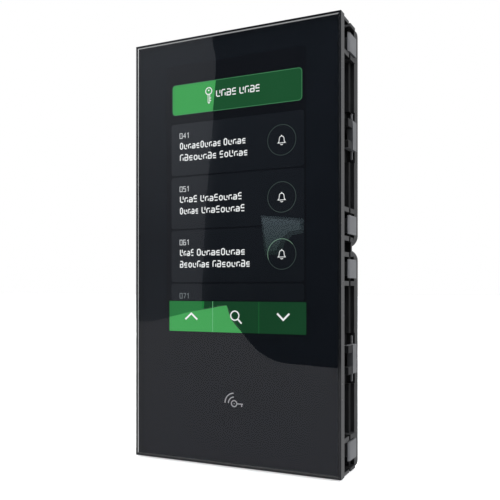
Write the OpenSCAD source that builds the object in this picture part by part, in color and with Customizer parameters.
// Touch entrance panel: a tall glass-fronted display unit on two clip-in rear modules.
// Units are millimetres. X is the width, Z the height. The front faces -Y and the
// rear mounting plane is y = 0. The word "depth" below is measured back from the front.

/* [Overall] */
// width of the front frame
width = 100; // [95:1:110]
// height of the front frame
height = 191; // [185:1:200]
// front of the glass to the rear mounting plane
depth = 27; // [27:1:34]

/* [Front] */
// thickness of the front glass
glass_t = 3; // [2:0.5:4]
// width of the polished bevel around the glass
glass_bevel = 0.7; // [0.3:0.05:1.2]
// width of the frame's lip around the glass
frame_lip = 0.7; // [0.4:0.1:1.5]
// depth of the front frame
frame_d = 4.4; // [4:0.1:6]

/* [Display] */
// visible width of the 5.5 inch picture
picture_w = 68; // [60:1:70]
// visible height of the picture
picture_h = 121; // [110:1:124]
// height of the picture's centre above the middle of the panel
picture_z = 23.4; // [20:0.2:26]

/* [Rear modules] */
// depth of the parting slit between front housings and rear shells
split_d = 14; // [13:0.5:15]
// width of the parting slit
slit = 0.3; // [0.2:0.1:0.5]
// half of the width across the rear shells
shell_x = 49; // [48:0.5:49]
// half of the width across the recessed side walls
recess_x = 45.5; // [44.5:0.5:46]
// half of the width across the side ribs and the end walls
rib_x = 49.4; // [48.5:0.1:49.5]
// radius of a rear shell's corners next to the middle gap
shell_in_r = 5; // [2:0.5:6]
// radius of a rear shell's far back edge
shell_back_r = 3; // [1:0.5:3.5]
// wall thickness of housings and shells
wall = 1.8; // [1.5:0.1:2]

/* [Wall fixing] */
// sideways spacing of the threaded inserts
insert_span_x = 60; // [60:1:64]
// upright spacing of the threaded inserts
insert_span_z = 120; // [116:1:124]
// radius of the insert's thread
insert_thread_r = 1.5; // [1.5:0.5:2]

/* [View] */
// node to build, or all of them

/* [Hidden] */
$fn = 48;
both = [-1, 1];
glass_bevel_d = 0.2;        // how far the glass's bevel falls back
module_z = 47.9;            // centre height of a rear module, up or down
shell_in = 2.1;             // end of a rear shell's neck next to the middle gap
tray_in = 0.4;              // end of a rear shell's wide tray next to the middle gap
shell_out = 95.5;           // far end of a rear shell
housing_in = 2.4;           // end of a front housing next to the middle gap
housing_out = 95.5;         // far end of a front housing
shell_corner_r = 1;         // radius of a rear shell's far corners
end_t = 1.4;                // thickness of the far end walls where they reach the sides
rib_end_d = 12.8;           // rear end of the front housings' ribs
rib_start_d = 14.8;         // front end of the rear shells' ribs
rib_offset = [33.1, -32.4]; // side ribs, from the module's centre outwards
rib_t = 2;                  // thickness of a side rib
pad_offset = 38.6;          // side pads, from the module's centre
step_d = 18.6;              // depth of the small step in the side of a rear shell
step_x = 47.5;              // half of the width across that step
tray_d = 21.6;              // depth at which the rear shell widens into its tray
back_d = depth - 2;         // inner face of the back plates
latch_d = 16.5;             // depth of the front of a latch's bridge
arm_d = 19;                 // depth of the front of a latch's thin arms
latch_room = 11;            // half height of a latch pocket
latch_pocket_d = 22.5;      // depth of the end of a latch pocket
boss_x = 40.3;              // screw posts that join housing and shell
boss_z = [7.8, 90];
frame_screw_x = 40.8;       // screws that hold the front frame
frame_screw_z = [25, 70];
bracket_screw_x = 40.2;     // screws that hold the display bracket
bracket_screw_z = [-35, 50];
board_d = 13;               // front face of both circuit boards
board_t = 1.6;
board_rear = board_d + board_t;
main_post_x = 32;
main_post_z = [22, 76];
io_post_x = 34;
io_post_z = [-78, -22];
bay_x = 25;                 // half width of the connector bay
bay_z = [-84, -50];         // bottom and top of the connector bay
bay_wall = 1.2;             // thickness of the bay's liner
link_x = [-27, -11];        // ribbon between the boards
tamper_z = -36;
dip_x = -13.5;
dip_z = -58;
dip_pitch = 2.54;
reset_x = 0;
reset_z = -57;
lcd_w = 71.2;
lcd_z = [-43.6, 86.4];
glass_d = glass_t + 0.1;    // rear of the glass with its printed film
sensor_d = glass_d + 0.3;
cell_d = sensor_d + 1.4;
guide_d = cell_d + 1.2;
tray_rear = guide_d + 0.8;
bracket_d = 7;
bracket_rear = 8;
rfid_z = -69;

// ---- shared shapes ----

// A block given by its limits: x, depth behind the front, and z.
module block(x, d, z)
    translate([x[0], d[0] - depth, z[0]])
        cube([x[1] - x[0], d[1] - d[0], z[1] - z[0]]);

// A round post along the depth.
module post(x, z, r, d)
    translate([x, d[1] - depth, z])
        rotate([90, 0, 0])
            cylinder(h = d[1] - d[0], r = r);

// A block whose four corners are round in the front view.
module round_block(x, d, z, r) {
    block([x[0] + r, x[1] - r], d, z);
    block(x, d, [z[0] + r, z[1] - r]);
    for (cx = [x[0] + r, x[1] - r])
        for (cz = [z[0] + r, z[1] - r])
            post(cx, cz, r, d);
}

// The same with one radius for the two low corners and another for the two high ones.
module uneven_block(x, d, z, low_r, high_r) {
    block(x, d, [z[0] + low_r, z[1] - high_r]);
    block([x[0] + low_r, x[1] - low_r], d, [z[0], z[0] + 2 * low_r]);
    block([x[0] + high_r, x[1] - high_r], d, [z[1] - 2 * high_r, z[1]]);
    for (cx = [x[0] + low_r, x[1] - low_r])
        post(cx, z[0] + low_r, low_r, d);
    for (cx = [x[0] + high_r, x[1] - high_r])
        post(cx, z[1] - high_r, high_r, d);
}

// A flat ring between two outlines.
module ring(outer_x, outer_z, inner_x, inner_z, d)
    difference() {
        block(outer_x, d, outer_z);
        block(inner_x, [d[0] - 1, d[1] + 1], inner_z);
    }

// A pan-head screw that points to the front: its head sits on depth head_d.
module screw(x, z, head_r, head_h, shank_r, tip_d, head_d)
    difference() {
        union() {
            post(x, z, shank_r, [tip_d, head_d]);
            post(x, z, head_r, [head_d, head_d + head_h]);
        }
        for (turn = [0, 90])
            translate([x, head_d + head_h - depth, z])
                rotate([0, turn, 0])
                    cube([head_r * 1.1, head_h, 0.5], center = true);
    }

// Mirrors its children from the upper module to the lower one.
module lower()
    mirror([0, 0, 1]) children();

// ---- glass and display ----

module front_glass() {
    gx = width / 2 - frame_lip - 0.05;
    gz = height / 2 - frame_lip - 0.05;
    flat_x = gx - glass_bevel;
    flat_z = gz - glass_bevel;
    rear = glass_t - depth;
    bevel = glass_bevel_d - depth;
    color("black")
        polyhedron(
            points = [
                [-flat_x, -depth, -flat_z], [flat_x, -depth, -flat_z],
                [flat_x, -depth, flat_z], [-flat_x, -depth, flat_z],
                [-gx, bevel, -gz], [gx, bevel, -gz], [gx, bevel, gz], [-gx, bevel, gz],
                [-gx, rear, -gz], [gx, rear, -gz], [gx, rear, gz], [-gx, rear, gz]
            ],
            faces = [
                [3, 2, 1, 0],
                [0, 1, 5, 4], [1, 2, 6, 5], [2, 3, 7, 6], [3, 0, 4, 7],
                [4, 5, 9, 8], [5, 6, 10, 9], [6, 7, 11, 10], [7, 4, 8, 11],
                [8, 9, 10, 11]
            ]
        );
}

module mask_film() {
    window_x = picture_w / 2 + 0.2;
    window_z = picture_h / 2 + 0.2;
    color("#101014")
        ring([-49, 49], [-94.4, 94.4], [-window_x, window_x],
            [picture_z - window_z, picture_z + window_z], [glass_t, glass_d]);
}

module touch_sensor()
    color("#3a4046")
        block([-37, 37], [glass_d, sensor_d], [-45, 88]);

module glass_bond_tape()
    color("#1c1c1c")
        ring([-49, 49], [-94.4, 94.4], [-41.5, 41.5], [-91, 91], [glass_d, sensor_d]);

module front_frame() {
    glass_x = width / 2 - frame_lip;
    glass_z = height / 2 - frame_lip;
    color("#46464a")
        difference() {
            union() {
                block([-width / 2, width / 2], [0, frame_d], [-height / 2, height / 2]);
                for (side = both)
                    for (half = both)
                        for (z = frame_screw_z)
                            post(side * frame_screw_x, half * z, 2.4, [frame_d - 0.5, 9]);
                for (side = both)
                    for (z = bracket_screw_z)
                        post(side * bracket_screw_x, z, 2.4, [frame_d - 0.5, bracket_d]);
            }
            block([-glass_x, glass_x], [-1, sensor_d], [-glass_z, glass_z]);
            block([-37.6, 37.6], [sensor_d - 1, frame_d + 1], [-90, 90]);
            for (side = both)
                for (half = both)
                    for (z = frame_screw_z)
                        post(side * frame_screw_x, half * z, 1.1, [frame_d, 10]);
            for (side = both)
                for (z = bracket_screw_z)
                    post(side * bracket_screw_x, z, 1.1, [frame_d, 10]);
        }
}

module lcd_cell()
    color("#20242a")
        block([-lcd_w / 2, lcd_w / 2], [sensor_d, cell_d], lcd_z);

module lcd_driver_chip()
    color("#181818")
        block([-9, 9], [cell_d, cell_d + 0.5], [-42.4, -41.2]);

module lcd_light_guide()
    color("#e8f0f4")
        block([-34.6, 34.6], [cell_d, guide_d], [-38, 85]);

module lcd_led_strip()
    color("#e8dc9a")
        for (i = [-5:5])
            block([i * 6 - 1.6, i * 6 + 1.6], [cell_d + 0.1, guide_d - 0.1], [-39.4, -38.2]);

module lcd_backlight_tray()
    color("#b8bcc0")
        difference() {
            block([-36.2, 36.2], [cell_d, tray_rear], [-40.2, 86.4]);
            block([-35.2, 35.2], [cell_d - 1, guide_d], [-39.6, 85.6]);
        }

// A folded flat cable: behind the glass, down past the edge, then up behind the bracket.
module folded_cable(x, start_d, start_z, low_z, top_z) {
    t = 0.2;
    block(x, [start_d, start_d + t], [low_z, start_z]);
    block(x, [start_d, 8.6], [low_z - t, low_z]);
    block(x, [8.4, 8.6], [low_z - t, top_z]);
    block(x, [8.4, board_d - 1.3], [top_z - t, top_z]);
}

module lcd_flex_cable()
    color("#c8862c")
        folded_cable([-10, 10], cell_d + 0.6, -40.6, -46, 26);

module touch_flex_cable()
    color("#c8862c")
        folded_cable([18, 26], sensor_d, -44.2, -47.4, 32);

module display_bracket()
    color("#a8acb0")
        difference() {
            union() {
                block([-37, 37], [bracket_d, bracket_rear], [-41, 85]);
                for (side = both)
                    for (z = bracket_screw_z)
                        round_block([side * bracket_screw_x - 3.2, side * bracket_screw_x + 3.2],
                            [bracket_d, bracket_rear], [z - 3.4, z + 3.4], 1.5);
                for (side = both) {
                    for (z = main_post_z)
                        post(side * main_post_x, z, 2.4, [bracket_d + 0.5, board_d]);
                    post(side * io_post_x, io_post_z[1], 2.4, [bracket_d + 0.5, board_d]);
                    block([side * 36 - 1, side * 36 + 1], [bracket_d + 0.5, bracket_rear + 0.8],
                        [-20, 18]);
                }
            }
            for (side = both) {
                for (z = bracket_screw_z)
                    post(side * bracket_screw_x, z, 1.5, [0, 12]);
                for (z = main_post_z)
                    post(side * main_post_x, z, 1.1, [9, 20]);
                post(side * io_post_x, io_post_z[1], 1.1, [9, 20]);
            }
        }

module display_bracket_screws()
    color("#c0c0c4")
        for (side = both)
            for (z = bracket_screw_z)
                screw(side * bracket_screw_x, z, 2.3, 1.4, 1.05, 4.6, bracket_rear);

// ---- card reader ----

module rfid_antenna_board()
    color("#1e5c34")
        block([-26, 26], [sensor_d + 0.3, sensor_d + 1.1], [rfid_z - 18, rfid_z + 18]);

module rfid_coil()
    color("#c87a3c")
        for (turn = [0:3]) {
            x = 24.5 - turn * 1.3;
            z = 16.5 - turn * 1.3;
            ring([-x, x], [rfid_z - z, rfid_z + z], [0.7 - x, x - 0.7],
                [rfid_z - z + 0.7, rfid_z + z - 0.7], [sensor_d + 0.1, sensor_d + 0.3]);
        }

module rfid_ferrite_sheet()
    color("#2c2c30")
        block([-26, 26], [sensor_d + 1.1, sensor_d + 1.5], [rfid_z - 18, rfid_z + 18]);

// ---- front housings ----

// The front half of one module, drawn for the upper one.
module front_housing() {
    inner_x = recess_x - wall;
    difference() {
        union() {
            ring([-recess_x, recess_x], [housing_in, housing_out], [-inner_x, inner_x],
                [housing_in + 2, housing_out - 2], [frame_d, split_d]);
            for (z = [[housing_in, housing_in + 2], [housing_out - end_t, housing_out]])
                block([-rib_x, rib_x], [frame_d, rib_end_d], z);
            for (side = both)
                for (offset = rib_offset) {
                    z = module_z + offset;
                    x = side * (recess_x + rib_x) / 2;
                    reach = (rib_x - recess_x) / 2;
                    block([x - reach, x + reach], [frame_d, rib_end_d],
                        [z - rib_t / 2, z + rib_t / 2]);
                }
            for (side = both) {
                for (z = boss_z)
                    post(side * boss_x, z, 3.6, [9, split_d]);
                for (z = frame_screw_z)
                    block([side * 41.2 - 2.8, side * 41.2 + 2.8], [9, 10.5], [z - 4, z + 4]);
            }
        }
        block([-38.5, 38.5], [frame_d - 1, 9.2], [housing_in - 1, housing_in + 3]);
        for (side = both) {
            for (z = boss_z)
                post(side * boss_x, z, 1.45, [10, split_d + 1]);
            for (z = frame_screw_z)
                post(side * frame_screw_x, z, 1.5, [8, 12]);
        }
    }
}

module front_housing_upper()
    color("#202024")
        front_housing();

module front_housing_lower()
    color("#202024") {
        lower() front_housing();
        difference() {
            union() {
                block([-44, 44], [9, 10.5], [-93, -49]);
                for (side = both)
                    post(side * io_post_x, io_post_z[0], 2.4, [10, board_d]);
            }
            for (side = both) {
                post(side * io_post_x, io_post_z[0], 1.1, [9.5, 20]);
                post(side * frame_screw_x, -frame_screw_z[1], 3, [8, 12]);
                post(side * boss_x, -boss_z[1], 1.45, [10, split_d + 1]);
            }
        }
        for (side = both)
            difference() {
                post(side * frame_screw_x, -frame_screw_z[1], 3.2, [9, 10.5]);
                post(side * frame_screw_x, -frame_screw_z[1], 1.5, [8, 12]);
            }
    }

module housing_bridge()
    color("#2a2a2e")
        difference() {
            union() {
                for (side = both) {
                    block([side * 42.5 - 4, side * 42.5 + 4], [frame_d, step_d], [-2.1, 2.1]);
                    block([side * 46.5 - 2.5, side * 46.5 + 2.5], [step_d - 1.8, step_d],
                        [-2.1, 2.1]);
                }
                block([-40, 40], [10, step_d], [-2.1, 2.1]);
            }
            block([link_x[0] - 1, link_x[1] + 1], [split_d, 17], [-3, 3]);
        }

module frame_screws()
    color("#c0c0c4")
        for (side = both)
            for (half = both)
                for (z = frame_screw_z)
                    screw(side * frame_screw_x, half * z, 2.3, 1.5, 1.05, 4.8, 10.5);

// ---- rear shells ----

// The shape of a rear shell's outside, drawn for the upper module.
module shell_outside() {
    start = split_d + slit;
    uneven_block([-shell_x, shell_x], [tray_d, depth], [tray_in, shell_out],
        shell_in_r, shell_corner_r);
    block([-recess_x, recess_x], [start, step_d], [shell_in, shell_out]);
    block([-step_x, step_x], [step_d, tray_d + 1], [shell_in, shell_out]);
    block([-rib_x, rib_x], [rib_start_d, step_d + 0.1], [shell_in, shell_in + 2]);
    block([-rib_x, rib_x], [rib_start_d, tray_d], [shell_out - end_t, shell_out]);
    for (side = both)
        for (offset = rib_offset) {
            x = side * (recess_x + rib_x) / 2;
            reach = (rib_x - recess_x) / 2;
            z = module_z + offset;
            block([x - reach, x + reach], [rib_start_d, tray_d],
                [z - rib_t / 2, z + rib_t / 2]);
        }
}

// What the rounding takes off a rear shell's far back edge.
module back_edge_cut() {
    turn_d = depth - shell_back_r;
    turn_z = shell_out - shell_back_r;
    difference() {
        block([-width / 2, width / 2], [turn_d, depth + 1], [turn_z, shell_out + 1]);
        translate([-width / 2 - 1, turn_d - depth, turn_z])
            rotate([0, 90, 0])
                cylinder(h = width + 2, r = shell_back_r);
    }
}

module rear_shell() {
    start = split_d + slit;
    neck = recess_x - wall;
    difference() {
        union() {
            difference() {
                shell_outside();
                block([-neck, neck], [start - 1, back_d], [shell_in + 2, shell_out - 2]);
                round_block([2 - shell_x, shell_x - 2], [tray_d + 1.5, back_d],
                    [shell_in + 2, shell_out - 2], 3);
            }
            for (side = both) {
                block([side * 45.5 - 1.8, side * 45.5 + 1.8], [step_d, latch_pocket_d + wall],
                    [module_z - latch_room - wall, module_z + latch_room + wall]);
                for (z = boss_z)
                    post(side * boss_x, z, 4.4, [start, back_d + 0.5]);
                post(side * insert_span_x / 2, insert_span_z / 2, 3.5, [18, back_d + 0.5]);
            }
        }
        for (side = both) {
            block([side * 48 - 2.5, side * 48 + 2.5], [step_d - 0.5, latch_pocket_d],
                [module_z - latch_room, module_z + latch_room]);
            for (z = boss_z) {
                post(side * boss_x, z, 1.7, [start - 1, depth]);
                post(side * boss_x, z, 2.9, [22, depth + 1]);
            }
            post(side * insert_span_x / 2, insert_span_z / 2, 2.3, [20, depth + 1]);
        }
        block([link_x[0] - 1, link_x[1] + 1], [start - 1, 17], [shell_in - 1, shell_in + 3]);
        back_edge_cut();
    }
}

module rear_shell_upper()
    color("#242428")
        rear_shell();

module rear_shell_lower() {
    window = bay_wall + 0.2;
    color("#242428")
        difference() {
            lower() rear_shell();
            block([-bay_x - window, bay_x + window], [back_d - 1, depth + 1],
                [bay_z[0] - window, bay_z[1] + window]);
            post(0, tamper_z, 2, [back_d - 1, depth + 1]);
        }
}

module connector_bay_liner()
    color("#2c2c30")
        ring([-bay_x - bay_wall, bay_x + bay_wall], [bay_z[0] - bay_wall, bay_z[1] + bay_wall],
            [-bay_x, bay_x], bay_z, [board_rear + 0.2, depth]);

module shell_seals()
    color("#0c0c0c")
        for (flip = [0, 1])
            mirror([0, 0, flip])
                ring([-45.2, 45.2], [2.8, 94.9], [-44.1, 44.1], [3.9, 93.8],
                    [split_d, split_d + slit]);

module shell_screws()
    color("#b8b8bc")
        for (side = both)
            for (half = both)
                for (z = boss_z)
                    screw(side * boss_x, half * z, 2.6, 2, 1.4, 10.2, 22);

module wall_inserts()
    color("#c8a050")
        for (side = both)
            for (half = both)
                difference() {
                    post(side * insert_span_x / 2, half * insert_span_z / 2, 2.3, [21, depth]);
                    post(side * insert_span_x / 2, half * insert_span_z / 2,
                        insert_thread_r, [20, depth + 1]);
                }

// ---- side pads and latches ----

module side_pad(z) {
    translate([0, 0, z - 4])
        linear_extrude(8)
            polygon([
                [shell_x, 11.3 - depth], [shell_x + 0.2, 11.3 - depth],
                [width / 2, 12.5 - depth], [width / 2, 21.5 - depth],
                [shell_x, 21.5 - depth]
            ]);
    block([recess_x, shell_x + 0.1], [split_d + slit + 0.1, step_d], [z - 3, z + 3]);
    block([step_x, shell_x + 0.1], [step_d - 0.1, 21.5], [z - 3, z + 3]);
}

module side_pads_right()
    color("#88898c")
        for (half = both)
            for (offset = both)
                side_pad(half * module_z + offset * pad_offset);

module side_pads_left()
    color("#88898c")
        mirror([1, 0, 0])
            for (half = both)
                for (offset = both)
                    side_pad(half * module_z + offset * pad_offset);

// A push-in latch of the right side: two prongs on a bridge, held by two thin arms.
module latch(z)
    color("#7c7d80") {
        inner = 47.4;
        block([inner, width / 2], [latch_d, 22], [z - 6.2, z + 6.2]);
        for (half = both) {
            prong = z + half * 4.55;
            block([inner, width / 2 - 0.3], [11, latch_d + 0.5], [prong - 1.65, prong + 1.65]);
            block([48, 48.8], [arm_d, arm_d + 1],
                [z + half * 7.9 - 2, z + half * 7.9 + 2]);
        }
    }

module latch_upper_right() latch(module_z);
module latch_lower_right() latch(-module_z);
module latch_upper_left() mirror([1, 0, 0]) latch(module_z);
module latch_lower_left() mirror([1, 0, 0]) latch(-module_z);

// ---- main board ----

module main_board()
    color("#1e5c34")
        difference() {
            block([-36, 36], [board_d, board_rear], [18, 80]);
            for (side = both)
                for (z = main_post_z)
                    post(side * main_post_x, z, 1.5, [board_d - 1, board_rear + 1]);
        }

module processor()
    color("#1a1a1c")
        block([-7, 7], [board_rear, board_rear + 1.4], [48, 62]);

module processor_shield()
    color("#b0b4b8")
        difference() {
            block([-17, 17], [board_rear, board_rear + 3], [38, 68]);
            block([-16.7, 16.7], [board_rear - 1, board_rear + 2.7], [38.3, 67.7]);
            for (i = [-2:2])
                for (k = [-1:1])
                    post(i * 5, 53 + k * 6, 0.9, [board_rear + 2, board_rear + 4]);
        }

module memory_chips()
    color("#1a1a1c")
        for (side = both)
            block([side * 10.5 - 2.8, side * 10.5 + 2.8], [board_rear, board_rear + 1.1],
                [42, 52]);

module power_inductors()
    color("#3c3c40")
        for (i = [0:2])
            round_block([-31, -24], [board_rear, board_rear + 3.3],
                [27.5 + i * 9, 34.5 + i * 9], 1.4);

module filter_capacitors()
    color("#707478")
        for (i = [0:2]) {
            post(27, 33 + i * 9, 3.1, [board_rear + 0.4, board_rear + 6.4]);
            block([23.7, 30.3], [board_rear, board_rear + 0.6], [29.7 + i * 9, 36.3 + i * 9]);
        }

module board_connectors()
    color("#d8d4c4") {
        block([-11, 11], [board_d - 1.2, board_d], [24, 29]);
        block([17, 27], [board_d - 1.2, board_d], [30, 35]);
        for (z = [[19, 23.5], [-25.5, -21]])
            block([link_x[0] - 0.5, link_x[1] + 0.5], [board_rear, board_rear + 1.2], z);
    }

module main_board_screws()
    color("#c0c0c4")
        for (side = both)
            for (z = main_post_z)
                screw(side * main_post_x, z, 2.3, 1.4, 1.05, 9.2, board_rear);

module board_link_ribbon()
    color("#9a9ea2") {
        block(link_x, [board_rear + 1.2, board_rear + 1.6], [-24, 22]);
        for (i = [0:7])
            block([link_x[0] + i * 2 + 0.4, link_x[0] + i * 2 + 1.4],
                [board_rear + 1.6, board_rear + 1.75], [-24, 22]);
    }

// ---- connection board ----

module io_board()
    color("#1e5c34")
        difference() {
            union() {
                block([-38, 38], [board_d, board_rear], [-83, -17]);
                block([-30, 30], [board_d, board_rear], [-86.5, -82]);
            }
            for (side = both)
                for (z = io_post_z)
                    post(side * io_post_x, z, 1.5, [board_d - 1, board_rear + 1]);
        }

module io_board_screws()
    color("#c0c0c4")
        for (side = both)
            for (z = io_post_z)
                screw(side * io_post_x, z, 2.3, 1.4, 1.05, 9.8, board_rear);

module terminal_block()
    color("#2c6a3c")
        difference() {
            block([-23, 1], [board_rear, 21.6], [-81, -70]);
            for (i = [0:5]) {
                post(-21 + i * 4, -77, 1.4, [18.6, 23]);
                block([-22.2 + i * 4, -19.8 + i * 4], [16, 18.4], [-76, -69]);
            }
        }

module terminal_screws()
    color("#c0c0c4")
        for (i = [0:5])
            difference() {
                post(-21 + i * 4, -77, 1.3, [18.7, 20.6]);
                block([-22 + i * 4, -20 + i * 4], [20, 21], [-77.25, -76.75]);
            }

module bus_sockets()
    color("#e4e0d4")
        for (x = [4, 14.5])
            difference() {
                block([x, x + 9], [board_rear, 22], [-81, -68]);
                block([x + 1.2, x + 7.8], [16, 23], [-79.8, -69.2]);
            }

module usb_socket()
    color("#b8bcc0")
        difference() {
            block([10, 19], [board_rear, 19.4], [-61, -57.6]);
            block([10.6, 18.4], [15.4, 20], [-60.5, -58.1]);
        }

module dip_switch_body()
    color("#b03028")
        difference() {
            block([dip_x - 5.6, dip_x + 5.6], [board_rear, 17.8], [dip_z - 3, dip_z + 3]);
            for (i = [0:3]) {
                x = dip_x + (i - 1.5) * dip_pitch;
                block([x - 0.7, x + 0.7], [16.4, 19], [dip_z - 1.7, dip_z + 1.7]);
            }
        }

module dip_slider(i)
    color("#f0f0ec") {
        x = dip_x + (i - 2.5) * dip_pitch;
        block([x - 0.55, x + 0.55], [16.5, 18.3], [dip_z - 1.55, dip_z + 0.35]);
    }

module tamper_switch_body()
    color("#1c1c1e")
        difference() {
            block([-4.6, 4.6], [board_rear, 20.6], [tamper_z - 4.6, tamper_z + 4.6]);
            post(0, tamper_z, 3.5, [15.4, 19.8]);
            post(0, tamper_z, 2, [19, 21]);
        }

module tamper_plunger()
    color("#d8d8d4") {
        post(0, tamper_z, 1.6, [19, 26.4]);
        post(0, tamper_z, 3, [19, 19.6]);
        post(0, tamper_z, 1.2, [17.4, 19.3]);
    }

module tamper_spring()
    color("#b8bcc0")
        for (turn = [0:4])
            translate([0, 16.9 + turn * 0.45 - depth, tamper_z])
                rotate([90, 0, 0])
                    rotate_extrude()
                        translate([2.2, 0])
                            circle(r = 0.2);

module reset_switch_body()
    color("#2c2c30")
        difference() {
            block([reset_x - 3, reset_x + 3], [board_rear, 18.1], [reset_z - 3, reset_z + 3]);
            post(reset_x, reset_z, 2.1, [16.8, 19]);
        }

module reset_button()
    color("#e4e4e0")
        post(reset_x, reset_z, 1.75, [17.4, 19.7]);

module buzzer()
    color("#202022")
        difference() {
            post(25, -38, 5, [board_rear, board_rear + 4]);
            post(25, -38, 1, [board_rear + 2.5, board_rear + 5]);
        }

// ---- the nodes ----

front_glass();
mask_film();
touch_sensor();
glass_bond_tape();
front_frame();
lcd_cell();
lcd_driver_chip();
lcd_light_guide();
lcd_led_strip();
lcd_backlight_tray();
lcd_flex_cable();
touch_flex_cable();
display_bracket();
display_bracket_screws();
rfid_antenna_board();
rfid_coil();
rfid_ferrite_sheet();
front_housing_upper();
front_housing_lower();
housing_bridge();
frame_screws();
rear_shell_upper();
rear_shell_lower();
connector_bay_liner();
shell_seals();
shell_screws();
main_board();
processor();
processor_shield();
memory_chips();
power_inductors();
filter_capacitors();
board_connectors();
main_board_screws();
io_board();
io_board_screws();
board_link_ribbon();
terminal_block();
terminal_screws();
bus_sockets();
usb_socket();
dip_switch_body();
dip_slider(1);  // dip_slider_1
dip_slider(2);  // dip_slider_2
dip_slider(3);  // dip_slider_3
dip_slider(4);  // dip_slider_4
tamper_switch_body();
tamper_plunger();
tamper_spring();
reset_switch_body();
reset_button();
buzzer();
side_pads_left();
side_pads_right();
latch_upper_left();
latch_upper_right();
latch_lower_left();
latch_lower_right();
wall_inserts();
